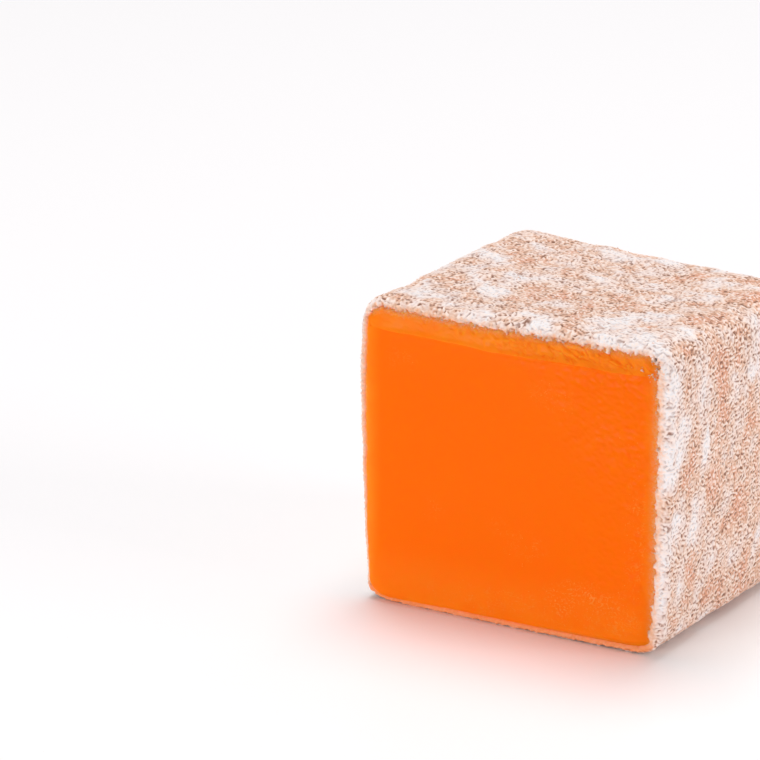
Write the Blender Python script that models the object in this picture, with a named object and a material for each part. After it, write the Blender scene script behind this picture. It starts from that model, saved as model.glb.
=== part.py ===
"""Turkish delight: one block of orange jelly, rolled in powder and cut open on its front side.

The block is one solid. Its cut side faces -Y and is smooth, with a leaning band along its top edge.
Every other side carries a thin crust of powder, modelled as relief: lumps, crags, caked patches and pits,
which ends in an uneven line just behind the cut.
Metres, +Z up. The origin is the middle of the block's box, on the surface it stands on.
"""
import math

import bmesh
import bpy
from mathutils import Vector, noise

MM = 0.001

# Driving dimensions of the block, over its crust
WIDTH = 27.0 * MM
DEPTH = 25.0 * MM
HEIGHT = 25.0 * MM

# Radii of the rounded edges, seen along each axis
SIDE_ROUND = 2.1 * MM
TOP_ROUND = 2.0 * MM
BASE_ROUND = 1.3 * MM
BACK_ROUND = 2.1 * MM
CUT_ROUND = 0.8 * MM

# The base's edge is rounder toward the front right corner
CORNER_BASE_ROUND = 2.5 * MM

# How far each corner of the poured and knife-cut block lies from a true box
CORNER_SHIFT = {
    ("left", "front", "top"): (-0.13 * MM, -0.04 * MM, 0.13 * MM),
    ("right", "front", "top"): (0.14 * MM, 0.08 * MM, 0.00 * MM),
    ("right", "front", "base"): (-0.21 * MM, 0.16 * MM, 0.00 * MM),
    ("left", "front", "base"): (0.50 * MM, -0.20 * MM, 0.00 * MM),
    ("left", "back", "top"): (0.00 * MM, 0.17 * MM, 0.57 * MM),
    ("right", "back", "top"): (0.12 * MM, -0.17 * MM, -0.76 * MM),
    ("right", "back", "base"): (-0.30 * MM, 0.10 * MM, 0.00 * MM),
    ("left", "back", "base"): (0.20 * MM, -0.10 * MM, 0.00 * MM),
}
SIDE_BULGE = 0.30 * MM
BACK_BULGE = 0.30 * MM
TOP_SAG = 0.12 * MM

# Where the crust's relief begins, behind the cut, and how far that line wanders
CRUST_LINE = 0.7 * MM
CRUST_LINE_WANDER = 0.3 * MM
CRUST_EDGE = 1.2 * MM

# Relief of the crust: height and spacing of each kind of form
LUMP_HEIGHT = 0.16 * MM
LUMP_SPACING = 5.5 * MM
CRAG_HEIGHT = 0.16 * MM
CRAG_SPACING = 2.8 * MM
CRUMB_HEIGHT = 0.14 * MM
CRUMB_SPACING = 1.15 * MM
CAKE_HEIGHT = 0.14 * MM
CAKE_SPACING = 4.2 * MM
CAKE_STRETCH = 0.55
PIT_DEPTH = 0.16 * MM
PIT_SPACING = 2.9 * MM

# The cut: a band along its top edge leans back, and the face is very slightly wavy
BAND_HEIGHT = 2.2 * MM
BAND_LEAN = 0.62 * MM
BAND_SLOPE = 0.35 * MM
FACE_WAVE = 0.05 * MM
FACE_WAVE_SPACING = 8.0 * MM

# Rows of faces along each axis: a few close rows at each edge, and even rows between
ROWS = 32
EDGE_ROWS = 4
EDGE_ZONE = 2.4 * MM

# One offset for each kind of relief, so that no two line up
LUMP_SEED = Vector((3.1, 7.7, 1.9))
CRAG_SEED = Vector((11.3, 2.9, 5.3))
CRUMB_SEED = Vector((8.4, 1.6, 12.7))
CAKE_SEED = Vector((6.7, 13.1, 9.2))
PIT_SEED = Vector((17.9, 4.4, 8.6))
LINE_SEED = Vector((2.2, 19.5, 14.8))


def smooth_step(low, high, value):
    """0 below low, 1 above high, and an even curve between."""
    t = min(max((value - low) / (high - low), 0.0), 1.0)
    return t * t * (3.0 - 2.0 * t)


def row_place(step, length):
    """Place of a row on an axis of this length, from 0, with closer rows near both ends."""
    if step <= EDGE_ROWS:
        return EDGE_ZONE * step / EDGE_ROWS
    if step >= ROWS - EDGE_ROWS:
        return length - EDGE_ZONE * (ROWS - step) / EDGE_ROWS
    inner = (step - EDGE_ROWS) / (ROWS - 2 * EDGE_ROWS)
    return EDGE_ZONE + inner * (length - 2 * EDGE_ZONE)


def box_point(unit):
    """Point of the sharp box for a vertex of the 2 m cube."""
    steps = [round((c + 1.0) / 2.0 * ROWS) for c in unit]
    return Vector((
        row_place(steps[0], WIDTH) - WIDTH / 2,
        row_place(steps[1], DEPTH) - DEPTH / 2,
        row_place(steps[2], HEIGHT),
    ))


def rounded(point):
    """(point on the rounded block, its outward normal) for a point of the sharp box."""
    near_corner = smooth_step(0.1, 0.5, point.x / WIDTH) * smooth_step(0.2, -0.5, point.y / DEPTH)
    base_round = BASE_ROUND + (CORNER_BASE_ROUND - BASE_ROUND) * near_corner
    radii = Vector((
        SIDE_ROUND,
        CUT_ROUND if point.y < 0 else BACK_ROUND,
        base_round if point.z < HEIGHT / 2 else TOP_ROUND,
    ))
    low = Vector((-WIDTH / 2, -DEPTH / 2, 0.0)) + radii
    high = Vector((WIDTH / 2, DEPTH / 2, HEIGHT)) - radii
    core = Vector([min(max(p, a), b) for p, a, b in zip(point, low, high)])
    way = Vector([(p - c) / r for p, c, r in zip(point, core, radii)]).normalized()
    place = core + Vector([w * r for w, r in zip(way, radii)])
    normal = Vector([w / r for w, r in zip(way, radii)]).normalized()
    return place, normal


def block_warp(point):
    """Shift of a point of the block, for its uneven corners, bulging sides and sagging top."""
    x = point.x / WIDTH + 0.5
    y = point.y / DEPTH + 0.5
    z = point.z / HEIGHT
    shift = Vector((0.0, 0.0, 0.0))
    for (side, end, level), corner in CORNER_SHIFT.items():
        share = (x if side == "right" else 1 - x) * (y if end == "back" else 1 - y)
        share *= z if level == "top" else 1 - z
        shift += Vector(corner) * share
    arch_x, arch_y, arch_z = [math.sin(math.pi * min(max(t, 0.0), 1.0)) for t in (x, y, z)]
    shift.x += SIDE_BULGE * arch_z * (2 * x - 1)
    shift.y += BACK_BULGE * arch_x * arch_z * smooth_step(0.5, 1.0, y)
    shift.z -= TOP_SAG * arch_x * arch_y * smooth_step(0.5, 1.0, z)
    return shift


def crust_relief(point):
    """Height of the crust's surface over its mean, at a point of the block."""
    lump = noise.noise(point / LUMP_SPACING + LUMP_SEED) * LUMP_HEIGHT
    crag = (0.5 - abs(noise.noise(point / CRAG_SPACING + CRAG_SEED)) * 2.0) * CRAG_HEIGHT
    crumb = noise.noise(point / CRUMB_SPACING + CRUMB_SEED) * CRUMB_HEIGHT
    upright = Vector((point.x, point.y, point.z * CAKE_STRETCH))
    caked = noise.noise(upright / CAKE_SPACING + CAKE_SEED)
    cake = smooth_step(0.02, 0.22, caked) * CAKE_HEIGHT
    nearest = noise.voronoi(point / PIT_SPACING + PIT_SEED)[0][0]
    pit = (1.0 - smooth_step(0.05, 0.35, nearest)) * PIT_DEPTH
    return lump + crag + crumb + cake - pit


def crust_share(point, normal):
    """1 where the crust covers the block, falling to 0 at the cut and on the base."""
    wander = noise.noise(point / CRAG_SPACING + LINE_SEED) * CRUST_LINE_WANDER
    behind = point.y + DEPTH / 2 - CRUST_LINE - wander
    off_cut = smooth_step(-CRUST_EDGE / 2, CRUST_EDGE / 2, behind)
    off_base = smooth_step(0.0, BASE_ROUND, point.z)
    return off_cut * (off_base if normal.z < 0 else 1.0)


def cut_shift(point, normal):
    """Shift of the cut's surface along Y: its leaning top band and its slight waves."""
    facing = smooth_step(0.2, 0.9, -normal.y)
    front = 1.0 - smooth_step(0.0, 3.5 * CUT_ROUND, point.y + DEPTH / 2)
    across = point.x / WIDTH + 0.5
    band = BAND_HEIGHT + BAND_SLOPE * smooth_step(0.1, 0.5, across)
    lean = max(0.0, (point.z - (HEIGHT - band)) / band) * BAND_LEAN * front
    wave = noise.noise(point / FACE_WAVE_SPACING + LUMP_SEED) * FACE_WAVE * facing
    return lean + wave


def block_point(unit):
    """Finished place of one vertex of the block."""
    point, normal = rounded(box_point(unit))
    proud = crust_share(point, normal) * crust_relief(point)
    place = point + normal * proud + block_warp(point)
    place.y += cut_shift(point, normal)
    place.z = max(place.z, 0.0)
    return place


def build_block(name):
    """The block's closed mesh: a cube in rows, moved point by point, with one flat face to stand on."""
    bm = bmesh.new()
    bmesh.ops.create_cube(bm, size=2.0)
    bmesh.ops.subdivide_edges(bm, edges=bm.edges[:], cuts=ROWS - 1, use_grid_fill=True)
    for vert in bm.verts:
        vert.co = block_point(vert.co)
    low = Vector([min(v.co[i] for v in bm.verts) for i in range(3)])
    high = Vector([max(v.co[i] for v in bm.verts) for i in range(3)])
    middle = Vector(((low.x + high.x) / 2, (low.y + high.y) / 2, low.z))
    bmesh.ops.translate(bm, verts=bm.verts[:], vec=-middle)
    standing = [f for f in bm.faces if all(v.co.z < 1e-7 for v in f.verts)]
    bmesh.ops.dissolve_faces(bm, faces=standing)
    bmesh.ops.triangulate(bm, faces=bm.faces[:], quad_method="SHORT_EDGE")
    bmesh.ops.recalc_face_normals(bm, faces=bm.faces[:])
    bm.normal_update()
    front = min(v.co.y for v in bm.verts)
    for face in bm.faces:
        bare = face.normal.y < -0.5 and face.calc_center_median().y < front + CUT_ROUND + BAND_LEAN
        face.material_index = 1 if bare else 0
    mesh = bpy.data.meshes.new(name)
    bm.to_mesh(mesh)
    bm.free()
    mesh.shade_smooth()
    return mesh


def plain_material(name, colour, roughness):
    """A Principled material with no metal in it."""
    material = bpy.data.materials.new(name)
    material.use_nodes = True
    shader = material.node_tree.nodes["Principled BSDF"]
    shader.inputs["Base Color"].default_value = (*colour, 1.0)
    shader.inputs["Roughness"].default_value = roughness
    shader.inputs["Metallic"].default_value = 0.0
    material.diffuse_color = (*colour, 1.0)
    return material


def main():
    for old in list(bpy.data.objects):
        bpy.data.objects.remove(old)
    mesh = build_block("turkish_delight")
    mesh.materials.append(plain_material("powder_crust", (0.81, 0.60, 0.51), 0.9))
    mesh.materials.append(plain_material("orange_jelly", (1.0, 0.14, 0.0), 0.25))
    block = bpy.data.objects.new("turkish_delight", mesh)
    bpy.context.scene.collection.objects.link(block)


main()
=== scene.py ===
"""Turkish delight: a block of orange jelly in its crust of powder, cut open on one side.

The jelly, the five sides of the crust and the loose powder replace the frame's one solid and keep its form.
The floor, the lights and the camera stand at the photograph's angle. Metres, +Z up.
"""

import math

import bpy
import numpy as np
from bpy.props import FloatProperty, FloatVectorProperty, IntProperty, PointerProperty, StringProperty
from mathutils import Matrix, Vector


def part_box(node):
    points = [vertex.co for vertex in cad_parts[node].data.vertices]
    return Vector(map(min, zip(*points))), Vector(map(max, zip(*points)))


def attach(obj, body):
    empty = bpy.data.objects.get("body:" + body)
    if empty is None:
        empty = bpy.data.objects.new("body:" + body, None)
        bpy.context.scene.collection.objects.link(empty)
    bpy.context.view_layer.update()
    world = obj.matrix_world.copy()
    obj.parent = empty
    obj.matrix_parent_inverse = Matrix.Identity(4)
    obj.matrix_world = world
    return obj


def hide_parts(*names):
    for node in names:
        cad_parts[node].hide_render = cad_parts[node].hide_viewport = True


bl_info = {
    "name": "Turkish Delight",
    "version": (1, 0, 0),
    "blender": (4, 5, 0),
    "location": "View3D > Sidebar > Turkish Delight",
    "description": "Models a cut block of turkish delight with its jelly, crust and loose powder",
    "category": "Add Mesh",
}

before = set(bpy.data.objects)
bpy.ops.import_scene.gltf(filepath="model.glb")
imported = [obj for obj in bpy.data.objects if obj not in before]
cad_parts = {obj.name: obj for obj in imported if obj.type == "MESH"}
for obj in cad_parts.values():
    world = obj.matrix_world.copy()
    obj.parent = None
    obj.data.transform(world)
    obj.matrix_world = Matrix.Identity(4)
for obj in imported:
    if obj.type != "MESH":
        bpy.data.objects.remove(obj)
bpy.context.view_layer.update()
NODE = "turkish_delight"
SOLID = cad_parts[NODE]
BLOCK_LOW, BLOCK_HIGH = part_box(NODE)

MM = 0.001
PER_MM = 1000.0
CRUST_SIDES = {
    "crust_top": (0, 0, 1),
    "crust_right": (1, 0, 0),
    "crust_left": (-1, 0, 0),
    "crust_back": (0, 1, 0),
    "crust_base": (0, 0, -1),
}
CUT_SIDE = (0, -1, 0)

# Kinds of node. A range takes a value, its two limits and what they become; a mix takes 0 the share and
# 2 and 3 its numbers, or 6 and 7 its colours
MATH = "ShaderNodeMath"
RANGE = "ShaderNodeMapRange"
VECTOR = "ShaderNodeVectorMath"
MIX = "ShaderNodeMix"
NOISE = "ShaderNodeTexNoise"
PARTS = "ShaderNodeSeparateXYZ"
STORED = "ShaderNodeAttribute"
SMOOTH = {"interpolation_type": "SMOOTHSTEP"}
BLOTS = {"noise_dimensions": "4D"}
TINT = {"data_type": "RGBA"}

# Spans in mm over which the crust's ragged end changes on its way round the cut, and by how much
LEFT_TO_RIGHT = (-10.0, 10.0)
DOWN_THE_SIDES = (4.0, 20.0)
SIDE_DROP = 0.1
ONTO_THE_TOP = (3.0, 1.4)
ONTO_THE_BASE = (1.8, 0.9)
ALONG_THE_BASE = (3.0, 12.0)
BASE_DROP = 0.12

# Rags of that end in mm: their spacing, their reach on the sides and on top, and its share at the base
RAG_SPACING = 0.55
SIDE_RAG = 0.4
TOP_RAG = 0.9
BASE_RAG_SHARE = 0.5

# Crust, in mm: width of the crest along its end, how deep its hidden rim dives, relief of the patches,
# and how deep the jelly lies below it, away from the cut
CREST_WIDTH = 0.3
DIVE = 0.55
PATCH_HEIGHT = 0.06
JELLY_DEPTH = 0.5

# Share by which height counts for the patches, which draws them out upwards
UPRIGHT_SHARE = 0.65

# Level in a grain, from 0 in its gap to 1 on its top, that lies on the crust's mean surface
GRAIN_MIDDLE = 0.55

# Seeds of the random patterns
PATCH_SEED = 3.1
WRINKLE_SEED = 2.4
SMEAR_SEED = 6.0
DRIFT_SEED = 4.0
MOTTLE_SEED = 5.2
WET_SEED = 8.1
RIM_SEED = 11
CRUST_SEED = 23
DUST_SEED = 37

# Powder: share of it at which the crust is bare, and at which it is thickest
BARE = 0.36
THICKEST = 0.66

# Leaning band, in mm: its crease over the top face, how far the crease wanders, and the relief on it
CREASE_DROP = 0.55
CREASE_WANDER = 0.7
LIP_HEIGHT = 0.05
GROOVE_DEPTH = 0.12
WRINKLE_DEPTH = 0.1
WRINKLE_SPACING = 1.1
WRINKLE_SLANT = -0.5

# A loose grain, as shares of its size: its unevenness, its length, and the smallest and the largest one
GRAIN_UNEVEN = 0.12
GRAIN_LENGTH = 1.25
GRAIN_SMALLEST = 0.45
GRAIN_LARGEST = 1.35

# Loose grains on a square metre: along the crust's end, on the crust, and on the cut where it is dusty
RIM_DENSITY = 1.2e6
CRUST_DENSITY = 6.0e5
DUST_DENSITY = 7.0e6

# Behind each side of the crust lies its border, drawn in to this share of its way to the block's middle
CLOSING_SHARE = 0.88

# Stage, in metres
FLOOR_SIZE = 3.0
LIT_POINT = (0.0, 0.0, 0.0125)
WHITE_SKY = (1.0, 0.995, 1.0, 1.0)
SENSOR_WIDTH = 36.0
CLIP_START = 0.01

WIDTH_MM = (BLOCK_HIGH.x - BLOCK_LOW.x) * PER_MM

# Clusters of specks on the cut, in mm: place across and up, half width, half height, and share of cover
DUST_CLUSTERS = (
    (3.6, 19.6, 2.8, 1.6, 0.35),
    (9.0, 17.4, 3.0, 1.0, 0.3),
    (-6.8, 8.6, 1.4, 1.2, 0.4),
    (-9.6, 20.8, 1.8, 1.6, 0.25),
    (-1.0, 8.4, 1.2, 1.0, 0.35),
    (1.6, 7.0, 2.4, 1.8, 0.35),
    (7.5, 3.0, 5.4, 2.8, 1.0),
    (0.0, 2.0, 9.5, 1.6, 0.45),
    (11.0, 9.0, 1.2, 8.5, 0.6),
)

# Patches of powder, in mm: place on the block, and how much thicker (+) or thinner (-) powder lies there
POWDER_PATCHES = (
    (7.4, -6.6, 24.9, 0.12),
    (2.8, 9.8, 24.6, 0.10),
    (-11.1, 2.8, 25.3, 0.10),
    (-1.3, 8.4, 25.0, 0.08),
    (-9.2, 7.2, 25.3, 0.08),
    (6.1, 1.6, 24.7, 0.08),
    (-4.8, 5.3, 25.1, 0.07),
    (-5.5, -6.0, 25.0, 0.08),
    (-11.0, -9.0, 25.2, 0.08),
    (8.0, 8.0, 24.7, 0.07),
    (11.1, -11.5, 24.7, 0.14),
    (5.3, -9.8, 24.9, 0.08),
    (13.8, -6.9, 15.8, 0.11),
    (13.7, -10.0, 11.0, 0.09),
    (13.7, -11.4, 20.0, 0.07),
    (13.7, -5.6, 10.2, 0.06),
    (13.4, -9.6, 3.3, -0.13),
    (13.7, -3.5, 7.8, -0.11),
    (12.4, -0.9, 24.5, -0.10),
    (13.3, -4.7, 2.9, -0.11),
    (13.4, -9.8, 24.0, -0.10),
    (13.8, 0.4, 9.4, -0.09),
    (13.8, -4.0, 21.5, -0.10),
    (13.6, -4.1, 12.1, -0.08),
    (13.8, -9.1, 15.4, -0.08),
    (13.8, -2.9, 18.0, -0.08),
    (12.3, 4.1, 24.6, -0.08),
    (13.5, -7.7, 6.4, -0.08),
    (11.9, -3.6, 24.7, -0.08),
    (13.6, 0.6, 14.6, -0.07),
    (2.2, -4.5, 24.9, -0.08),
)


class DelightSizes(bpy.types.PropertyGroup):
    """Sizes of the jelly, its crust and the loose powder."""

    rows: IntProperty(
        name="Rows", description="Rows of faces along each edge of the crust's cage", default=37, min=8,
    )
    jelly_rows: IntProperty(
        name="Jelly rows", description="Rows of faces along each edge of the jelly", default=26,
    )
    crust_thickness: FloatProperty(
        name="Crust thickness", description="How thick the crust is where the cut shows it",
        default=0.2 * MM, unit="LENGTH", precision=5,
    )
    left_line: FloatProperty(
        name="Left line", description="How far behind the cut the crust ends on the left",
        default=0.58 * MM, unit="LENGTH", precision=5,
    )
    right_line: FloatProperty(
        name="Right line", description="How far behind the cut the crust ends on the right",
        default=0.38 * MM, unit="LENGTH", precision=5,
    )
    base_line: FloatProperty(
        name="Base line", description="How far behind the cut the crust ends at the base",
        default=0.54 * MM, unit="LENGTH", precision=5,
    )
    top_line: FloatProperty(
        name="Top line", description="How far behind the cut the crust ends on top", default=0.8 * MM,
        unit="LENGTH", precision=5,
    )
    wrap: FloatProperty(
        name="Wrap", description="How far the crust's sheet runs on round the cut's rim, mostly unseen",
        default=2.6 * MM, unit="LENGTH", precision=5,
    )
    grain: FloatProperty(
        name="Grain", description="Spacing of the crust's curled grains", default=0.35 * MM, unit="LENGTH",
        precision=5,
    )
    grain_height: FloatProperty(
        name="Grain height", description="Height of the grains over the gaps between them",
        default=0.13 * MM, unit="LENGTH", precision=5,
    )
    patch: FloatProperty(
        name="Patch", description="Spacing of the thick and thin patches of powder", default=2.6 * MM,
        unit="LENGTH", precision=5,
    )
    patch_reach: FloatProperty(
        name="Patch reach", description="How far a placed patch of powder runs out", default=2.2 * MM,
        unit="LENGTH", precision=5,
    )
    band_height: FloatProperty(
        name="Band height", description="Height of the leaning band along the cut's top edge",
        default=2.2 * MM, unit="LENGTH", precision=5,
    )
    band_slope: FloatProperty(
        name="Band slope", description="How much higher the band is past the middle", default=0.35 * MM,
        unit="LENGTH", precision=5,
    )
    crumb: FloatProperty(
        name="Crumb", description="Size of a loose crumb", default=0.13 * MM, unit="LENGTH", precision=5,
    )
    speck: FloatProperty(
        name="Speck", description="Size of a speck of powder on the cut", default=0.07 * MM, unit="LENGTH",
        precision=5,
    )


class DelightColours(bpy.types.PropertyGroup):
    """Colours, as sRGB hex values."""

    jelly: StringProperty(name="Jelly", description="Deep colour of the cut jelly", default="#FF6D00")
    # Painted light: the jelly's rims and leaning band, and the crust near the floor, are painted in this
    # paler colour; the specks use it too
    jelly_edge: StringProperty(
        name="Jelly edge", description="Paler jelly where an edge lets light in", default="#FE8618",
    )
    jelly_dusted: StringProperty(
        name="Dusted jelly", description="Jelly under a film of powder", default="#FF9F48",
    )
    thin: StringProperty(
        name="Thin powder", description="Orange that shows through thin powder", default="#DFA183",
    )
    middling: StringProperty(
        name="Middling powder", description="Powder of middling thickness", default="#E5BFA8",
    )
    thick: StringProperty(
        name="Thick powder", description="Thick powder, a pinkish white", default="#EDDCD7",
    )
    caked: StringProperty(
        name="Caked powder", description="The thickest powder, nearly white", default="#F1EEF0",
    )
    soaked: StringProperty(
        name="Soaked powder", description="Powder that the jelly has wetted", default="#F8BC92",
    )
    # Hollow, gap and ridge are partly painted light: tan and brown for the shade between grains, partly
    # orange showing through thin powder, and cream for the highlight on a grain's top
    hollow: StringProperty(name="Hollow", description="Tan powder low between grains", default="#D2A189")
    gap: StringProperty(name="Gap", description="Dark brown gap between grains", default="#8C6554")
    ridge: StringProperty(name="Ridge", description="Cream on top of a grain", default="#FAE8DF")
    floor: StringProperty(name="Floor", description="Pale floor", default="#FFFDFE")


class DelightView(bpy.types.PropertyGroup):
    """Camera and light."""

    eye: FloatVectorProperty(
        name="Eye", description="Place of the camera", default=(0.1289, -0.24314, 0.10363),
        subtype="TRANSLATION",
    )
    aim: FloatVectorProperty(
        name="Aim", description="Point in the middle of the picture", default=(-0.01484, -0.0075, 0.0167),
        subtype="TRANSLATION",
    )
    lens: FloatProperty(name="Lens", description="Focal length in mm", default=170.5)
    sky: FloatProperty(name="Sky", description="Strength of the even white surroundings", default=0.38)
    lamp: FloatProperty(
        name="Lamp", description="Power of the softbox above and behind the block, in watts", default=6.6,
    )
    front: FloatProperty(
        name="Front", description="Power of the light in front of the cut, in watts", default=0.66,
    )
    right: FloatProperty(
        name="Right", description="Power of the light on the right, in watts", default=0.62,
    )


def linear(hex_colour):
    """Linear RGBA of an sRGB hex value, by the sRGB curve."""
    parts = [int(hex_colour[i:i + 2], 16) / 255.0 for i in (1, 3, 5)]
    return tuple(p / 12.92 if p <= 0.04045 else ((p + 0.055) / 1.055) ** 2.4 for p in parts) + (1.0,)


def add(tree, kind, *values, **settings):
    """Adds a node with its settings. Values, sockets or nodes fill its inputs in order, or by key."""
    node = tree.nodes.new(kind)
    for name, value in settings.items():
        setattr(node, name, value)
    inputs = {}
    for number, value in enumerate(values):
        inputs.update(value if isinstance(value, dict) else {number: value})
    for key, value in inputs.items():
        if isinstance(value, bpy.types.Node):
            value = value.outputs[0]
        if isinstance(value, bpy.types.NodeSocket):
            tree.links.new(value, node.inputs[key])
        else:
            node.inputs[key].default_value = value
    return node


def select_only(piece):
    """Makes this the one selected and active object."""
    bpy.ops.object.select_all(action="DESELECT")
    piece.select_set(True)
    bpy.context.view_layer.objects.active = piece


def pick_faces(piece, number):
    """Opens the piece for editing with only the faces of one material number selected."""
    select_only(piece)
    bpy.ops.object.mode_set(mode="EDIT")
    bpy.ops.mesh.select_mode(type="FACE")
    bpy.ops.mesh.select_all(action="DESELECT")
    bpy.ops.object.mode_set(mode="OBJECT")
    for face in piece.data.polygons:
        face.select = face.material_index == number
    bpy.ops.object.mode_set(mode="EDIT")


def apply_modifier(piece, kind, **settings):
    """Adds a modifier to the piece and applies it."""
    select_only(piece)
    modifier = piece.modifiers.new(kind.title(), kind)
    for name, value in settings.items():
        setattr(modifier, name, value)
    bpy.ops.object.modifier_apply(modifier=modifier.name)


def block_cage(name, rows):
    """A box in rows, each side with its own material number, drawn onto the solid."""
    bpy.ops.object.select_all(action="DESELECT")
    middle = (BLOCK_LOW + BLOCK_HIGH) / 2
    bpy.ops.mesh.primitive_cube_add(size=1.0, location=middle, scale=BLOCK_HIGH - BLOCK_LOW)
    piece = bpy.context.object
    piece.name = name
    piece.data.name = name
    bpy.ops.object.transform_apply(location=True, rotation=True, scale=True)
    bpy.ops.object.mode_set(mode="EDIT")
    bpy.ops.mesh.select_all(action="SELECT")
    bpy.ops.mesh.subdivide(number_cuts=rows - 1)
    bpy.ops.object.mode_set(mode="OBJECT")
    sides = [Vector(way) for way in CRUST_SIDES.values()] + [Vector(CUT_SIDE)]
    for face in piece.data.polygons:
        face.material_index = max(range(len(sides)), key=lambda i: face.normal.dot(sides[i]))
    apply_modifier(piece, "SHRINKWRAP", target=SOLID, wrap_method="NEAREST_SURFACEPOINT")
    return piece


def empty_tree(name):
    """A new geometry tree: (tree, its input geometry)."""
    tree = bpy.data.node_groups.new(name, "GeometryNodeTree")
    for way in ("INPUT", "OUTPUT"):
        tree.interface.new_socket("Geometry", in_out=way, socket_type="NodeSocketGeometry")
    return tree, add(tree, "NodeGroupInput").outputs[0]


def relief_tree(name):
    """A new geometry tree for relief: (tree, its input geometry, place in mm, normal)."""
    tree, geometry = empty_tree(name)
    place = add(tree, "GeometryNodeInputPosition")
    millimetres = add(tree, VECTOR, {0: place.outputs[0], "Scale": PER_MM}, operation="SCALE")
    normal = add(tree, "GeometryNodeInputNormal")
    return tree, geometry, millimetres.outputs[0], normal.outputs[0]


def stirred(tree, place, spacing, reach):
    """The place, stirred by up to half the reach in swirls of this spacing, in mm."""
    swirl = add(tree, NOISE, {"Vector": place, "Scale": 1.0 / spacing, "Detail": 1.0}, **BLOTS).outputs[1]
    swirl = add(tree, VECTOR, swirl, (0.5, 0.5, 0.5), operation="SUBTRACT")
    swirl = add(tree, VECTOR, {0: swirl, "Scale": reach}, operation="SCALE")
    return add(tree, VECTOR, place, swirl, operation="ADD")


def curled_grains(tree, place, grain):
    """Field: 1 on top of the short curled grains and 0 in the gaps between them."""
    # Caked starch and sugar curl up in short rows as wide as a grain, bent within a grain's width
    rows_in_one = 1.8
    swirl_spacing = 0.45
    swirl_reach = 0.5
    pattern = {
        "Vector": stirred(tree, place, swirl_spacing, swirl_reach),
        "Scale": 1.0 / (grain * rows_in_one),
        "Frequency": rows_in_one,
        "Anisotropy": 0.0,
    }
    waves = add(tree, "ShaderNodeTexGabor", pattern, gabor_type="3D")
    return add(tree, RANGE, waves.outputs["Value"], 0.3, 0.7)


def apply_tree(piece, tree):
    """Runs a geometry tree on the piece as an applied modifier."""
    apply_modifier(piece, "NODES", node_group=tree)
    bpy.data.node_groups.remove(tree)


def finish_relief(tree, geometry, place, normal, relief, values):
    """Keeps the values and the place on the points, then moves each out by its relief in mm."""
    for name, field in {**values, "skin": place}.items():
        geometry = add(
            tree,
            "GeometryNodeStoreNamedAttribute",
            {"Geometry": geometry, "Name": name, "Value": field},
            data_type="FLOAT_VECTOR" if name == "skin" else "FLOAT",
            domain="POINT",
        )
    metres = add(tree, MATH, relief, MM, operation="MULTIPLY")
    step = add(tree, VECTOR, {0: normal, "Scale": metres}, operation="SCALE")
    here = add(tree, "GeometryNodeInputPosition")
    moved = add(tree, VECTOR, here, step, operation="ADD")
    above_floor = add(tree, VECTOR, moved, (-1.0, -1.0, 0.0), operation="MAXIMUM")
    placed = add(tree, "GeometryNodeSetPosition", {"Geometry": geometry, "Position": above_floor})
    add(tree, "NodeGroupOutput", placed)


def past_line(tree, place, sizes):
    """(distance behind the cut, distance below the top, distance past the crust's ragged end), in mm."""
    across, along, height = add(tree, PARTS, place).outputs
    behind = add(tree, MATH, along, BLOCK_LOW.y * PER_MM, operation="SUBTRACT")
    below_top = add(tree, MATH, BLOCK_HIGH.z * PER_MM, height, operation="SUBTRACT")

    lines = (sizes.left_line * PER_MM, sizes.right_line * PER_MM)
    side = add(tree, RANGE, across, *LEFT_TO_RIGHT, *lines, **SMOOTH)
    drop = add(tree, RANGE, below_top, *DOWN_THE_SIDES, 0.0, SIDE_DROP, **SMOOTH)
    side = add(tree, MATH, side, drop, operation="ADD")
    on_top = add(tree, RANGE, below_top, *ONTO_THE_TOP, **SMOOTH)
    line = add(tree, MIX, {0: on_top, 2: side, 3: sizes.top_line * PER_MM})
    base_line = sizes.base_line * PER_MM
    base = add(tree, RANGE, across, *ALONG_THE_BASE, base_line, base_line + BASE_DROP, **SMOOTH)
    on_base = add(tree, RANGE, height, *ONTO_THE_BASE, **SMOOTH)
    line = add(tree, MIX, {0: on_base, 2: line, 3: base})

    pattern = {"Vector": place, "Scale": 1.0 / RAG_SPACING, "Detail": 4.0, "Roughness": 0.75}
    rag = add(tree, MATH, add(tree, NOISE, pattern, **BLOTS), 0.5, operation="SUBTRACT")
    reach = add(tree, RANGE, below_top, 4.0, 1.4, SIDE_RAG, TOP_RAG, **SMOOTH)
    low_reach = add(tree, RANGE, height, 0.9, 1.8, BASE_RAG_SHARE, **SMOOTH)
    reach = add(tree, MATH, reach, low_reach, operation="MULTIPLY")
    rag = add(tree, MATH, rag, reach, operation="MULTIPLY")
    past = add(tree, MATH, behind, line, operation="SUBTRACT")
    past = add(tree, MATH, past, rag, operation="SUBTRACT")
    return behind, below_top, past


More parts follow.
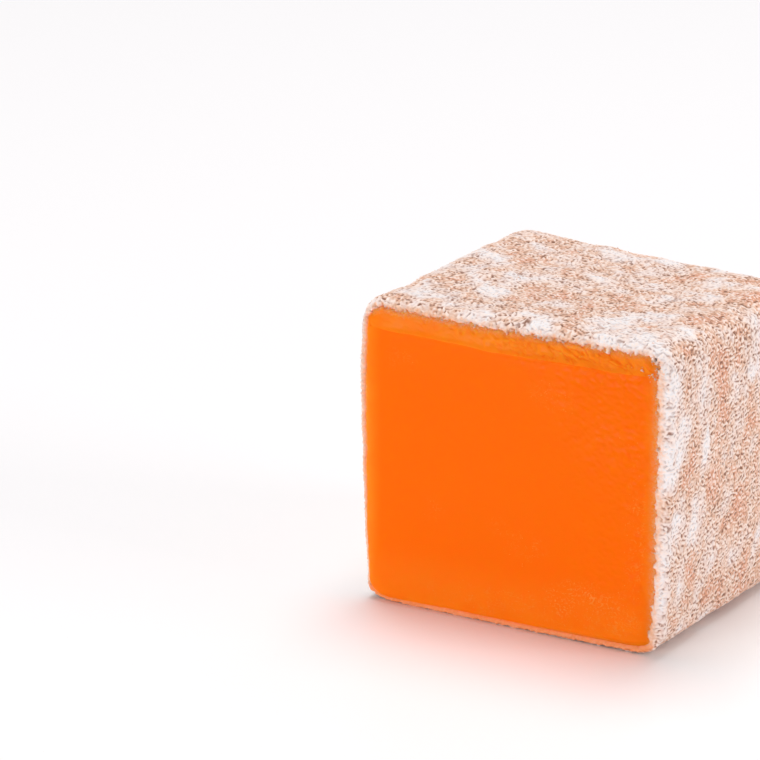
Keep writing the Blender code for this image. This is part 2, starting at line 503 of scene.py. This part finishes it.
def crust_tree(sizes):
    """Relief of the crust: curled grains, thick and thin patches, and a ragged end behind the cut."""
    tree, geometry, place, normal = relief_tree("crust relief")
    behind, below_top, past = past_line(tree, place, sizes)
    cover = add(tree, RANGE, past, -0.06, 0.02)
    crest = add(tree, RANGE, past, CREST_WIDTH, 0.0, **SMOOTH)
    off_floor = add(tree, RANGE, below_top, 25.1, 23.4, **SMOOTH)

    upright = add(tree, VECTOR, place, (1.0, 1.0, UPRIGHT_SHARE), operation="MULTIPLY")
    pattern = {
        "Vector": upright,
        "W": PATCH_SEED,
        "Scale": 1.0 / (sizes.patch * PER_MM),
        "Detail": 5.0,
        "Roughness": 0.62,
        "Distortion": 0.4,
    }
    patches = add(tree, NOISE, pattern, **BLOTS)
    placed = placed_patches(tree, place, sizes.patch_reach * PER_MM)
    near_cut = add(tree, RANGE, behind, 8.0, 1.0, 0.0, 0.06, **SMOOTH)
    # Painted glow: the powder thins near the floor, so the crust there shows more orange, partly standing
    # in for light through the jelly
    glow_near_floor = add(tree, RANGE, below_top, 24.4, 25.2, 0.0, -0.12, **SMOOTH)
    for more in (placed, near_cut, glow_near_floor):
        patches = add(tree, MATH, patches, more, operation="ADD")
    powder = add(tree, RANGE, patches, BARE, THICKEST)

    grains = curled_grains(tree, place, sizes.grain * PER_MM)
    filled = add(tree, RANGE, powder, 0.55, 1.0, 1.0, 0.6, **SMOOTH)
    smoothed = add(tree, RANGE, crest, 0.2, 1.0, 1.0, 0.5, **SMOOTH)
    height = add(tree, MATH, grains, GRAIN_MIDDLE, operation="SUBTRACT")
    for share in (filled, smoothed, sizes.grain_height * PER_MM):
        height = add(tree, MATH, height, share, operation="MULTIPLY")
    thicker = add(tree, MATH, powder, 0.5, operation="SUBTRACT")
    height = add(tree, MATH, thicker, PATCH_HEIGHT, height, operation="MULTIPLY_ADD")

    half = 0.5 * sizes.crust_thickness * PER_MM
    lip = add(tree, RANGE, behind, 1.6, 0.6, 0.0, half, **SMOOTH)
    lip = add(tree, MATH, add(tree, RANGE, past, 0.0, 0.2, **SMOOTH), lip, operation="MULTIPLY")
    height = add(tree, MATH, height, lip, operation="ADD")
    height = add(tree, MIX, {0: cover, 2: -DIVE, 3: height})

    strewn = add(tree, RANGE, past, 0.1, 0.2, **SMOOTH)
    strewn = add(tree, MATH, strewn, off_floor, operation="MULTIPLY")
    fringe = add(tree, MATH, crest, add(tree, RANGE, past, 0.0, 0.1, **SMOOTH), operation="MULTIPLY")
    fringe = add(tree, MATH, fringe, off_floor, operation="MULTIPLY")
    values = {"powder": powder, "crest": crest, "cover": cover, "strewn": strewn, "fringe": fringe}
    finish_relief(tree, geometry, place, normal, height, values)
    return tree


def placed_patches(tree, place, reach):
    """Field: how much thicker or thinner the powder lies because of the placed patches."""
    total = 0.0
    for x, y, z, strength in POWDER_PATCHES:
        off = add(tree, VECTOR, place, (x, y, z), operation="DISTANCE").outputs["Value"]
        here = add(tree, RANGE, off, reach, 0.2 * reach, 0.0, strength, **SMOOTH)
        total = add(tree, MATH, here, total, operation="ADD")
    return total


def above_band(tree, place, sizes):
    """Height over the lower edge of the leaning band, in mm."""
    across, _, height = add(tree, PARTS, place).outputs
    rise = add(tree, RANGE, across, -0.4 * WIDTH_MM, 0.0, 0.0, sizes.band_slope * PER_MM, **SMOOTH)
    level = (BLOCK_HIGH.z - sizes.band_height) * PER_MM - CREASE_DROP
    line = add(tree, MATH, level, rise, operation="SUBTRACT")
    wander = add(tree, NOISE, {"Vector": place, "Scale": 1.0 / 5.0}, **BLOTS)
    wander = add(tree, MATH, wander, 0.5, operation="SUBTRACT")
    line = add(tree, MATH, wander, CREASE_WANDER, line, operation="MULTIPLY_ADD")
    return add(tree, MATH, height, line, operation="SUBTRACT")


def wrinkles(tree, place):
    """Field: 1 along the slanting creases of the band and 0 between them."""
    slanted = {"Vector": place, "Angle": WRINKLE_SLANT}
    turned = add(tree, "ShaderNodeVectorRotate", slanted, rotation_type="Y_AXIS")
    slanted = add(tree, VECTOR, turned, (0.45, 0.5, 1.6), operation="MULTIPLY")
    pattern = {"Vector": slanted, "W": WRINKLE_SEED, "Scale": 1.0 / WRINKLE_SPACING, "Distortion": 1.0}
    crease = add(tree, MATH, add(tree, NOISE, pattern, **BLOTS), 0.5, operation="SUBTRACT")
    crease = add(tree, RANGE, add(tree, MATH, crease, operation="ABSOLUTE"), 0.045, 0.0, **SMOOTH)
    across = add(tree, PARTS, place).outputs[0]
    more_at_right = add(tree, RANGE, across, -6.0, 8.0, 0.25, **SMOOTH)
    return add(tree, MATH, crease, more_at_right, operation="MULTIPLY")


def jelly_tree(sizes):
    """Form of the jelly: sunk under the crust, with a lip, a groove and wrinkles on the leaning band."""
    tree, geometry, place, normal = relief_tree("jelly form")
    across, _, height = add(tree, PARTS, place).outputs
    behind, below_top, past = past_line(tree, place, sizes)
    under = add(tree, RANGE, behind, 1.4, 2.8, -sizes.crust_thickness * PER_MM, -JELLY_DEPTH, **SMOOTH)
    sink = add(tree, MATH, under, add(tree, RANGE, past, -0.25, 0.0, **SMOOTH), operation="MULTIPLY")

    above = above_band(tree, place, sizes)
    off_crease = add(tree, MATH, above, operation="ABSOLUTE")
    lip = add(tree, RANGE, off_crease, 0.0, 0.2, LIP_HEIGHT, 0.0, **SMOOTH)
    groove = add(tree, RANGE, above, 0.05, 0.35, 0.0, -GROOVE_DEPTH, **SMOOTH)
    groove_end = add(tree, RANGE, above, 0.5, 1.7, 1.0, 0.0, **SMOOTH)
    groove = add(tree, MATH, groove, groove_end, operation="MULTIPLY")
    relief = add(tree, MATH, lip, groove, operation="ADD")
    on_band = add(tree, RANGE, above, 0.0, 0.2, **SMOOTH)
    crease = add(tree, MATH, wrinkles(tree, place), on_band, operation="MULTIPLY")
    relief = add(tree, MATH, crease, -WRINKLE_DEPTH, relief, operation="MULTIPLY_ADD")
    inside = add(tree, RANGE, add(tree, MATH, across, operation="ABSOLUTE"), 12.2, 10.0, **SMOOTH)
    near = add(tree, RANGE, behind, 2.2, 1.5, **SMOOTH)
    for share in (inside, near):
        relief = add(tree, MATH, relief, share, operation="MULTIPLY")

    values = {
        "film": edge_film(tree, across, height, below_top, past),
        "rim": painted_light_rim(tree, across, height),
        "dust": dust_field(tree, across, height),
    }
    relief = add(tree, MATH, sink, relief, operation="ADD")
    finish_relief(tree, geometry, place, normal, relief, values)
    return tree


def painted_light_rim(tree, across, height):
    """Field: painted light, 1 in the paler jelly near the left, right and lower edges of the cut, and up to
    0.6 towards the bottom against the shade there. Limits are in mm.
    """
    left = add(tree, RANGE, across, -11.4, -13.2, **SMOOTH)
    right = add(tree, RANGE, across, 11.2, 12.8, **SMOOTH)
    low = add(tree, RANGE, height, 1.2, 0.1, **SMOOTH)
    # Painted glow: paler towards the bottom, making up for the shade near the floor
    glow = add(tree, RANGE, height, 6.0, 0.5, 0.0, 0.6, **SMOOTH)
    rim = left
    for part in (right, low, glow):
        rim = add(tree, MATH, rim, part, operation="MAXIMUM")
    return rim


def edge_film(tree, across, height, below_top, past):
    """Field: where powder films the jelly, in front of the crust's end and only at the cut's very edges."""
    at_edge = add(tree, RANGE, across, 11.9, 12.9, **SMOOTH)
    left = add(tree, RANGE, across, -13.0, -13.5, **SMOOTH)
    upper = add(tree, RANGE, below_top, 2.0, 1.2, **SMOOTH)
    lower = add(tree, RANGE, height, 0.35, 0.1, **SMOOTH)
    for part in (left, upper, lower):
        at_edge = add(tree, MATH, at_edge, part, operation="MAXIMUM")
    near_line = add(tree, RANGE, past, -0.4, 0.0, **SMOOTH)
    return add(tree, MATH, near_line, at_edge, operation="MULTIPLY")


def dust_field(tree, across, height):
    """Field: where powder dusts the cut, as a few soft-edged clusters."""
    total = 0.0
    for x, z, wide, high, share in DUST_CLUSTERS:
        squares = []
        for place, middle, reach in ((across, x, wide), (height, z, high)):
            off = add(tree, MATH, place, middle, operation="SUBTRACT")
            off = add(tree, MATH, off, reach, operation="DIVIDE")
            squares.append(add(tree, MATH, off, off, operation="MULTIPLY"))
        off = add(tree, MATH, *squares, operation="ADD")
        here = add(tree, RANGE, off, 1.0, 0.2, 0.0, share, **SMOOTH)
        total = add(tree, MATH, here, total, operation="MAXIMUM")
    return total


def jelly_material(sizes, colours):
    """Starch jelly, set and knife-cut, in which light runs deep: its glow is partly painted emission, its
    pale edges painted light.
    """
    material = bpy.data.materials.new("set_starch_jelly")
    material.use_nodes = True
    tree = material.node_tree
    shader = tree.nodes["Principled BSDF"]
    shader.inputs["Roughness"].default_value = 0.3
    shader.inputs["IOR"].default_value = 1.4
    shader.inputs["Specular IOR Level"].default_value = 0.06
    shader.inputs["Subsurface Weight"].default_value = 1.0
    shader.inputs["Subsurface Radius"].default_value = (1.0, 0.35, 0.1)
    shader.inputs["Subsurface Scale"].default_value = 1.0 * MM
    # Painted glow: the jelly emits a little of its own colour, standing in for light that shines through it
    shader.inputs["Emission Strength"].default_value = 0.04
    place = add(tree, STORED, attribute_name="skin").outputs["Vector"]

    above = above_band(tree, place, sizes)
    on_band = add(tree, RANGE, above, 0.0, 0.08, **SMOOTH)
    folded = add(tree, MATH, wrinkles(tree, place), on_band, operation="MULTIPLY")
    rim = add(tree, STORED, attribute_name="rim").outputs["Fac"]
    # Painted light: the leaning band, which faces the light from above, and the rims are painted in the
    # paler jelly colour
    pale = add(tree, MATH, on_band, rim, operation="MAXIMUM")
    # Starch clouds the jelly in soft drifts a few millimetres wide, which break up the painted light of the
    # band and rims
    haze_spacing = 2.8
    light_drifts = add(tree, NOISE, {"Vector": place, "Scale": 1.0 / haze_spacing, "Detail": 3.0}, **BLOTS)
    light_drifts = add(tree, RANGE, light_drifts, 0.3, 0.6, 0.55, **SMOOTH)
    # Painted shade: the band's creases keep less of the painted light, so they look darker
    shade_in_folds = add(tree, RANGE, folded, 0.0, 1.0, 1.0, 0.3, **SMOOTH)
    for share in (light_drifts, shade_in_folds):
        pale = add(tree, MATH, pale, share, operation="MULTIPLY")
    tones = {6: linear(colours.jelly), 7: linear(colours.jelly_edge)}
    colour = add(tree, MIX, {0: pale, **tones}, **TINT).outputs[2]

    # Powder that the wet edge has drawn in lies in threads about two specks wide
    thread_spacing = 0.22
    pattern = {"Vector": place, "Scale": 1.0 / thread_spacing, "Detail": 4.0, "Roughness": 0.75}
    threads = add(tree, RANGE, add(tree, NOISE, pattern, **BLOTS), 0.35, 0.7, 0.1, **SMOOTH)
    film = add(tree, STORED, attribute_name="film").outputs["Fac"]
    film = add(tree, MATH, film, threads, operation="MULTIPLY")
    colour = add(tree, MIX, {0: film, 6: colour, 7: linear(colours.soaked)}, **TINT).outputs[2]

    # The knife leaves wetted powder in smears half a millimetre wide, gathered in wider drifts
    smear_spacing = 0.42
    drift_spacing = 1.8
    narrower = add(tree, VECTOR, place, (0.8, 1.0, 1.0), operation="MULTIPLY")
    pattern = {
        "Vector": narrower,
        "W": SMEAR_SEED,
        "Scale": 1.0 / smear_spacing,
        "Detail": 3.0,
        "Roughness": 0.6,
        "Distortion": 2.5,
    }
    smears = add(tree, RANGE, add(tree, NOISE, pattern, **BLOTS), 0.5, 0.7, 0.0, 0.75, **SMOOTH)
    pattern = {"Vector": place, "W": DRIFT_SEED, "Scale": 1.0 / drift_spacing, "Detail": 3.0}
    drifts = add(tree, RANGE, add(tree, NOISE, pattern, **BLOTS), 0.38, 0.6, **SMOOTH)
    dust = add(tree, STORED, attribute_name="dust").outputs["Fac"]
    for share in (smears, drifts):
        dust = add(tree, MATH, dust, share, operation="MULTIPLY")
    colour = add(tree, MIX, {0: dust, 6: colour, 7: linear(colours.jelly_dusted)}, **TINT).outputs[2]
    tree.links.new(colour, shader.inputs["Base Color"])
    # The same colour, painted light and all, also feeds the painted glow
    tree.links.new(colour, shader.inputs["Emission Color"])

    # It also leaves faint ripples about half a millimetre apart
    ripple_spacing = 0.6
    ripple = add(tree, NOISE, {"Vector": place, "Scale": 1.0 / ripple_spacing, "Detail": 4.0}, **BLOTS)
    step = add(tree, RANGE, above, 0.0, 0.12, 1.2, 0.0, **SMOOTH)
    step = add(tree, MATH, folded, -1.2, step, operation="MULTIPLY_ADD")
    ripple = add(tree, MATH, ripple, step, operation="ADD")
    bump = add(tree, "ShaderNodeBump", {"Strength": 0.35, "Distance": 0.05 * MM, "Height": ripple})
    tree.links.new(bump.outputs[0], shader.inputs["Normal"])
    return material


def crust_material(sizes, colours):
    """Starch and sugar, sifted on and caked: cream curls, brown gaps, and white where it lies thick. The
    cream on the curls is partly painted highlight, the tan and brown between them partly painted shade, and
    near the floor and on the sunk rim the crust is painted with the jelly's glow.
    """
    material = bpy.data.materials.new("caked_starch_sugar")
    material.use_nodes = True
    tree = material.node_tree
    shader = tree.nodes["Principled BSDF"]
    shader.inputs["Roughness"].default_value = 0.9
    shader.inputs["Specular IOR Level"].default_value = 0.25
    place = add(tree, "ShaderNodeTexCoord").outputs["Object"]
    millimetres = add(tree, VECTOR, {0: place, "Scale": PER_MM}, operation="SCALE")
    skin = add(tree, STORED, attribute_name="skin").outputs["Vector"]
    crest = add(tree, STORED, attribute_name="crest").outputs["Fac"]
    cover = add(tree, STORED, attribute_name="cover").outputs["Fac"]

    # Sifting leaves mottles about two curls wide
    mottle_spacing = 0.8
    pattern = {
        "Vector": millimetres,
        "W": MOTTLE_SEED,
        "Scale": 1.0 / mottle_spacing,
        "Detail": 3.0,
        "Roughness": 0.6,
    }
    mottle = add(tree, MATH, add(tree, NOISE, pattern, **BLOTS), 0.5, operation="SUBTRACT")
    powder = add(tree, STORED, attribute_name="powder").outputs["Fac"]
    powder = add(tree, MATH, mottle, 0.6, powder, operation="MULTIPLY_ADD")
    tones = add(tree, "ShaderNodeValToRGB", powder)
    ramp = tones.color_ramp
    ramp.elements[0].color = linear(colours.thin)
    ramp.elements[1].color = linear(colours.caked)
    for position, tone in ((0.38, colours.middling), (0.75, colours.thick)):
        ramp.elements.new(position).color = linear(tone)

    grains = curled_grains(tree, skin, sizes.grain * PER_MM)
    # Painted shade and highlight: tan in the hollows and dark brown in the gaps between the grains stand
    # partly for shade and partly for orange showing through thin powder, and cream on the grains' tops for
    # a highlight. Less of it is painted where the powder is thick and along the crest.
    shown = add(tree, RANGE, powder, 0.55, 1.0, 1.0, 0.4, **SMOOTH)
    off_crest = add(tree, RANGE, crest, 0.1, 0.8, 1.0, 0.25, **SMOOTH)
    shown = add(tree, MATH, shown, off_crest, operation="MULTIPLY")
    hollow_shade = add(tree, MATH, add(tree, RANGE, grains, 0.6, 0.25, 0.0, 0.5), shown, operation="MULTIPLY")
    gaps = add(tree, MATH, add(tree, RANGE, grains, 0.38, 0.05, 0.0, 0.9), shown, operation="MULTIPLY")
    fewer_on_crest = add(tree, RANGE, crest, 0.2, 1.0, 1.0, 0.6, **SMOOTH)
    ridge_highlight = add(tree, RANGE, grains, 0.5, 0.85, 0.0, 0.85)
    ridge_highlight = add(tree, MATH, ridge_highlight, fewer_on_crest, operation="MULTIPLY")

    # The jelly wets the powder in spots smaller than a curl
    wet_spacing = 0.25
    pattern = {
        "Vector": millimetres,
        "W": WET_SEED,
        "Scale": 1.0 / wet_spacing,
        "Detail": 3.0,
        "Roughness": 0.7,
    }
    wet = add(tree, RANGE, add(tree, NOISE, pattern, **BLOTS), 0.35, 0.65, 0.25, 0.95, **SMOOTH)
    soaked = add(tree, MATH, add(tree, MATH, crest, 1.6, operation="POWER"), wet, operation="MULTIPLY")
    # Painted glow: along the crest near the floor, and on the sunk inner wall, the crust is painted in the
    # pale jelly colour, standing in for light through the jelly and hiding the wall's shade
    glow_near_floor = add(tree, RANGE, add(tree, PARTS, skin).outputs[2], 1.4, 0.6, 0.0, 0.6, **SMOOTH)
    on_crest = add(tree, RANGE, crest, 0.0, 0.3, **SMOOTH)
    low = add(tree, MATH, glow_near_floor, on_crest, operation="MULTIPLY")
    inner_wall = add(tree, RANGE, cover, 0.9, 0.2, **SMOOTH)
    low = add(tree, MATH, low, inner_wall, operation="MAXIMUM")

    colour = tones.outputs[0]
    for share, tone in (
        (ridge_highlight, colours.ridge),
        (hollow_shade, colours.hollow),
        (gaps, colours.gap),
        (soaked, colours.soaked),
        (low, colours.jelly_edge),
    ):
        colour = add(tree, MIX, {0: share, 6: colour, 7: linear(tone)}, **TINT).outputs[2]
    tree.links.new(colour, shader.inputs["Base Color"])

    # Real starch grains are 0.02 mm across, too fine to show, so the grit is drawn this coarse
    grit_spacing = 0.13
    grit = add(tree, NOISE, {"Vector": millimetres, "Scale": 1.0 / grit_spacing}, **BLOTS)
    bump = add(tree, "ShaderNodeBump", {"Strength": 0.4, "Distance": 0.04 * MM, "Height": grit})
    tree.links.new(bump.outputs[0], shader.inputs["Normal"])
    return material


def crumb_material(colours):
    """Crumbs of caked powder: matt, white to cream, each one a little different."""
    material = bpy.data.materials.new("powder_crumbs")
    material.use_nodes = True
    tree = material.node_tree
    shader = tree.nodes["Principled BSDF"]
    shader.inputs["Roughness"].default_value = 0.9
    shader.inputs["Specular IOR Level"].default_value = 0.25
    tone = add(tree, STORED, attribute_name="tone").outputs["Fac"]
    paler = {0: tone, 6: linear(colours.soaked), 7: linear(colours.thick)}
    tree.links.new(add(tree, MIX, paler, **TINT).outputs[2], shader.inputs["Base Color"])
    return material


def speck_material(colours):
    """Specks of powder wetted by the jelly: half see-through, so they look peach on it."""
    material = bpy.data.materials.new("wetted_powder_specks")
    material.use_nodes = True
    tree = material.node_tree
    shader = tree.nodes["Principled BSDF"]
    shader.inputs["Roughness"].default_value = 0.6
    shader.inputs["Specular IOR Level"].default_value = 0.2
    tone = add(tree, STORED, attribute_name="tone").outputs["Fac"]
    paler = {0: tone, 6: linear(colours.jelly_edge), 7: linear(colours.jelly_dusted)}
    tree.links.new(add(tree, MIX, paler, **TINT).outputs[2], shader.inputs["Base Color"])
    return material


def floor_material(colours):
    """Coated white board: matt and almost white, with a faint sheen."""
    material = bpy.data.materials.new("coated_white_board")
    material.use_nodes = True
    shader = material.node_tree.nodes["Principled BSDF"]
    shader.inputs["Base Color"].default_value = linear(colours.floor)
    shader.inputs["Roughness"].default_value = 0.4
    shader.inputs["Specular IOR Level"].default_value = 0.15
    return material


def scatter(name, ground, size, density, chance, seed, squash=0.6, tones=(0.0, 1.0)):
    """Crumbs in one mesh: an uneven grain, copied over the ground where the named chance allows it."""
    bpy.ops.object.select_all(action="DESELECT")
    bpy.ops.mesh.primitive_ico_sphere_add(subdivisions=1, radius=0.5, location=(0.0, 0.0, 0.0))
    piece = bpy.context.object
    piece.name = name
    piece.data.name = name
    bpy.ops.object.mode_set(mode="EDIT")
    bpy.ops.mesh.select_all(action="SELECT")
    bpy.ops.transform.vertex_random(offset=GRAIN_UNEVEN, seed=seed)
    bpy.ops.transform.resize(value=(GRAIN_LENGTH, 1.0, squash), center_override=(0.0, 0.0, 0.0))
    bpy.ops.object.mode_set(mode="OBJECT")
    tree, grain = empty_tree("scatter " + name)
    surface = add(tree, "GeometryNodeObjectInfo", {"Object": ground}, transform_space="ORIGINAL")
    share = add(tree, "GeometryNodeInputNamedAttribute", {"Name": chance}, data_type="FLOAT")
    here = add(tree, MATH, share.outputs[0], density, operation="MULTIPLY")
    points = add(
        tree,
        "GeometryNodeDistributePointsOnFaces",
        {"Mesh": surface.outputs["Geometry"], "Density": here.outputs[0], "Seed": seed},
        distribute_method="RANDOM",
    )
    limits = {2: GRAIN_SMALLEST * size, 3: GRAIN_LARGEST * size, "Seed": seed + 1}
    sizes = add(tree, "FunctionNodeRandomValue", limits, data_type="FLOAT")
    limits = {0: (0.0, 0.0, 0.0), 1: (math.tau, math.tau, math.tau), "Seed": seed + 2}
    spin = add(tree, "FunctionNodeRandomValue", limits, data_type="FLOAT_VECTOR")
    limits = {2: tones[0], 3: tones[1], "Seed": seed + 3}
    tone = add(tree, "FunctionNodeRandomValue", limits, data_type="FLOAT")
    toned = add(
        tree,
        "GeometryNodeStoreNamedAttribute",
        {"Geometry": points, "Name": "tone", "Value": tone.outputs[1]},
        data_type="FLOAT",
        domain="POINT",
    )
    copies = add(
        tree,
        "GeometryNodeInstanceOnPoints",
        {"Points": toned, "Instance": grain, "Rotation": spin.outputs[0], "Scale": sizes.outputs[1]},
    )
    real = add(tree, "GeometryNodeRealizeInstances", copies)
    add(tree, "NodeGroupOutput", real)
    apply_tree(piece, tree)
    return piece


class DELIGHT_OT_jelly(bpy.types.Operator):
    """Models the jelly, with its smooth cut side and its leaning band"""

    bl_idname = "delight.jelly"
    bl_label = "Jelly"
    bl_options = {"REGISTER", "UNDO"}

    def execute(self, context):
        sizes = context.scene.delight_sizes
        jelly = block_cage("cut_jelly", sizes.jelly_rows)
        apply_modifier(jelly, "SUBSURF", levels=2, render_levels=2)
        pick_faces(jelly, len(CRUST_SIDES))
        bpy.ops.mesh.subdivide(number_cuts=1, ngon=False)
        bpy.ops.object.mode_set(mode="OBJECT")
        apply_tree(jelly, jelly_tree(sizes))
        numbers = np.zeros(len(jelly.data.polygons), dtype=np.int32)
        jelly.data.polygons.foreach_set("material_index", numbers)
        jelly.data.shade_smooth()
        jelly.data.materials.append(jelly_material(sizes, context.scene.delight_colours))
        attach(jelly, "root")
        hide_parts(NODE)
        return {"FINISHED"}


class DELIGHT_OT_crust(bpy.types.Operator):
    """Models the crust on the other five sides as one skin"""

    bl_idname = "delight.crust"
    bl_label = "Crust"
    bl_options = {"REGISTER", "UNDO"}

    def execute(self, context):
        sizes = context.scene.delight_sizes
        crust = block_cage("crust", sizes.rows)
        self.wrap_round_the_cut(crust, sizes.wrap)
        pick_faces(crust, len(CRUST_SIDES))
        bpy.ops.mesh.delete(type="FACE")
        bpy.ops.object.mode_set(mode="OBJECT")
        apply_modifier(crust, "SUBSURF", levels=3, render_levels=3)
        apply_tree(crust, crust_tree(sizes))
        crust.data.shade_smooth()
        return {"FINISHED"}

    def wrap_round_the_cut(self, crust, reach):
        """Gives the outer rows of the cut's faces to the sides that they meet."""
        edges = {
            "crust_top": lambda place: BLOCK_HIGH.z - place.z,
            "crust_right": lambda place: BLOCK_HIGH.x - place.x,
            "crust_left": lambda place: place.x - BLOCK_LOW.x,
            "crust_base": lambda place: place.z,
        }
        names = list(CRUST_SIDES)
        for face in crust.data.polygons:
            if face.material_index == len(CRUST_SIDES):
                nearest = min(edges, key=lambda name: edges[name](face.center))
                if edges[nearest](face.center) < reach:
                    face.material_index = names.index(nearest)


class DELIGHT_OT_powder(bpy.types.Operator):
    """Scatters loose crumbs on the crust, along its ragged end and on the cut"""

    bl_idname = "delight.powder"
    bl_label = "Loose powder"
    bl_options = {"REGISTER", "UNDO"}

    def execute(self, context):
        scene = context.scene
        sizes = scene.delight_sizes
        crust = bpy.data.objects["crust"]
        jelly = bpy.data.objects["cut_jelly"]
        crumbs = crumb_material(scene.delight_colours)
        specks = speck_material(scene.delight_colours)
        rim_size, grain_size, speck_size = 0.8 * sizes.crumb, 1.2 * sizes.crumb, 0.8 * sizes.speck
        # The crumbs along the crust's end lean to soaked peach: partly wetted powder, partly a painted
        # orange light bounced from the jelly
        rim = scatter("rim_crumbs", crust, rim_size, RIM_DENSITY, "fringe", RIM_SEED, tones=(0.3, 0.8))
        grains = scatter(
            "crust_grains", crust, grain_size, CRUST_DENSITY, "strewn", CRUST_SEED, tones=(0.6, 1.0)
        )
        dust = scatter("cut_specks", jelly, speck_size, DUST_DENSITY, "dust", DUST_SEED, squash=0.4)
        for piece, material in ((rim, crumbs), (grains, crumbs), (dust, specks)):
            piece.data.materials.clear()
            piece.data.materials.append(material)
            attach(piece, "root")
        return {"FINISHED"}


class DELIGHT_OT_crust_sides(bpy.types.Operator):
    """Divides the crust into its five sides, each closed behind"""

    bl_idname = "delight.crust_sides"
    bl_label = "Crust sides"
    bl_options = {"REGISTER", "UNDO"}

    def execute(self, context):
        crust = bpy.data.objects["crust"]
        material = crust_material(context.scene.delight_sizes, context.scene.delight_colours)
        count = len(crust.data.vertices)
        normals = np.empty(count * 3, dtype=np.float32)
        crust.data.vertices.foreach_get("normal", normals)
        whole = crust.data.attributes.new("whole_normal", "FLOAT_VECTOR", "POINT")
        whole.data.foreach_set("vector", normals)
        for name in CRUST_SIDES:
            crust.data.materials.append(bpy.data.materials.new(name))
        select_only(crust)
        bpy.ops.object.mode_set(mode="EDIT")
        bpy.ops.mesh.separate(type="MATERIAL")
        bpy.ops.object.mode_set(mode="OBJECT")
        for piece in list(context.selected_objects):
            name = piece.material_slots[piece.data.polygons[0].material_index].material.name
            piece.name = name
            self.close_behind(piece)
            piece.data.materials.clear()
            piece.data.materials.append(material)
            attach(piece, "root")
            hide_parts(NODE)
        for name in CRUST_SIDES:
            bpy.data.materials.remove(bpy.data.materials[name])
        return {"FINISHED"}

    def close_behind(self, piece):
        """Draws the side's border inwards and fills it, so that the side is a closed slab."""
        select_only(piece)
        piece.data.name = piece.name
        bpy.ops.object.mode_set(mode="EDIT")
        bpy.ops.mesh.select_mode(type="EDGE")
        bpy.ops.mesh.select_all(action="DESELECT")
        bpy.ops.mesh.select_non_manifold()
        middle = (BLOCK_LOW + BLOCK_HIGH) / 2
        bpy.ops.mesh.extrude_edges_move()
        bpy.ops.transform.resize(value=(CLOSING_SHARE,) * 3, center_override=middle)
        bpy.ops.mesh.edge_face_add()
        bpy.ops.object.mode_set(mode="OBJECT")
        count = len(piece.data.vertices)
        normals = np.empty(count * 3, dtype=np.float32)
        piece.data.attributes["whole_normal"].data.foreach_get("vector", normals)
        piece.data.shade_smooth()
        piece.data.normals_split_custom_set_from_vertices(normals.reshape(-1, 3).tolist())
        piece.data.attributes.remove(piece.data.attributes["whole_normal"])


class DELIGHT_OT_stage(bpy.types.Operator):
    """Lays the floor and sets the lights and the camera"""

    bl_idname = "delight.stage"
    bl_label = "Stage"
    bl_options = {"REGISTER", "UNDO"}

    def execute(self, context):
        scene = context.scene
        view = scene.delight_view
        bpy.ops.object.select_all(action="DESELECT")
        bpy.ops.mesh.primitive_plane_add(size=FLOOR_SIZE, location=(0.0, 0.0, 0.0))
        floor = context.object
        floor.name = "floor"
        floor.data.materials.append(floor_material(scene.delight_colours))

        world = bpy.data.worlds.new("white_surroundings")
        world.use_nodes = True
        world.node_tree.nodes["Background"].inputs["Color"].default_value = WHITE_SKY
        world.node_tree.nodes["Background"].inputs["Strength"].default_value = view.sky
        scene.world = world

        for name, place, size, power in (
            ("softbox", (-0.12, 0.22, 0.95), 0.60, view.lamp),
            ("front_fill", (-0.14, -0.40, 0.035), 0.065, view.front),
            ("right_fill", (0.40, 0.06, 0.10), 0.20, view.right),
        ):
            bpy.ops.object.light_add(type="AREA", location=place)
            lamp = context.object
            lamp.name = name
            lamp.data.size = size
            lamp.data.energy = power
            lamp.rotation_euler = (Vector(LIT_POINT) - lamp.location).to_track_quat("-Z", "Y").to_euler()

        bpy.ops.object.camera_add(location=view.eye)
        camera = context.object
        camera.data.lens = view.lens
        camera.data.sensor_width = SENSOR_WIDTH
        camera.data.clip_start = CLIP_START
        camera.rotation_euler = (Vector(view.aim) - Vector(view.eye)).to_track_quat("-Z", "Y").to_euler()
        scene.camera = camera
        scene.view_settings.view_transform = "Standard"
        return {"FINISHED"}


class DELIGHT_PT_panel(bpy.types.Panel):
    """Lists the sizes, the colours and the steps that build the sweet"""

    bl_idname = "DELIGHT_PT_panel"
    bl_label = "Turkish Delight"
    bl_space_type = "VIEW_3D"
    bl_region_type = "UI"
    bl_category = "Turkish Delight"

    def draw(self, context):
        scene = context.scene
        for group in (scene.delight_sizes, scene.delight_colours, scene.delight_view):
            box = self.layout.box()
            for name in group.__annotations__:
                box.prop(group, name)
        for step in STEPS:
            self.layout.operator(step.bl_idname)


STEPS = (
    DELIGHT_OT_jelly,
    DELIGHT_OT_crust,
    DELIGHT_OT_powder,
    DELIGHT_OT_crust_sides,
    DELIGHT_OT_stage,
)
CLASSES = (DelightSizes, DelightColours, DelightView) + STEPS + (DELIGHT_PT_panel,)


def register():
    for item in CLASSES:
        bpy.utils.register_class(item)
    bpy.types.Scene.delight_sizes = PointerProperty(type=DelightSizes)
    bpy.types.Scene.delight_colours = PointerProperty(type=DelightColours)
    bpy.types.Scene.delight_view = PointerProperty(type=DelightView)


def unregister():
    del bpy.types.Scene.delight_view
    del bpy.types.Scene.delight_colours
    del bpy.types.Scene.delight_sizes
    for item in reversed(CLASSES):
        bpy.utils.unregister_class(item)


def main():
    register()
    bpy.ops.delight.jelly()
    bpy.ops.delight.crust()
    bpy.ops.delight.powder()
    bpy.ops.delight.crust_sides()
    bpy.ops.delight.stage()


if __name__ == "__main__":
    main()
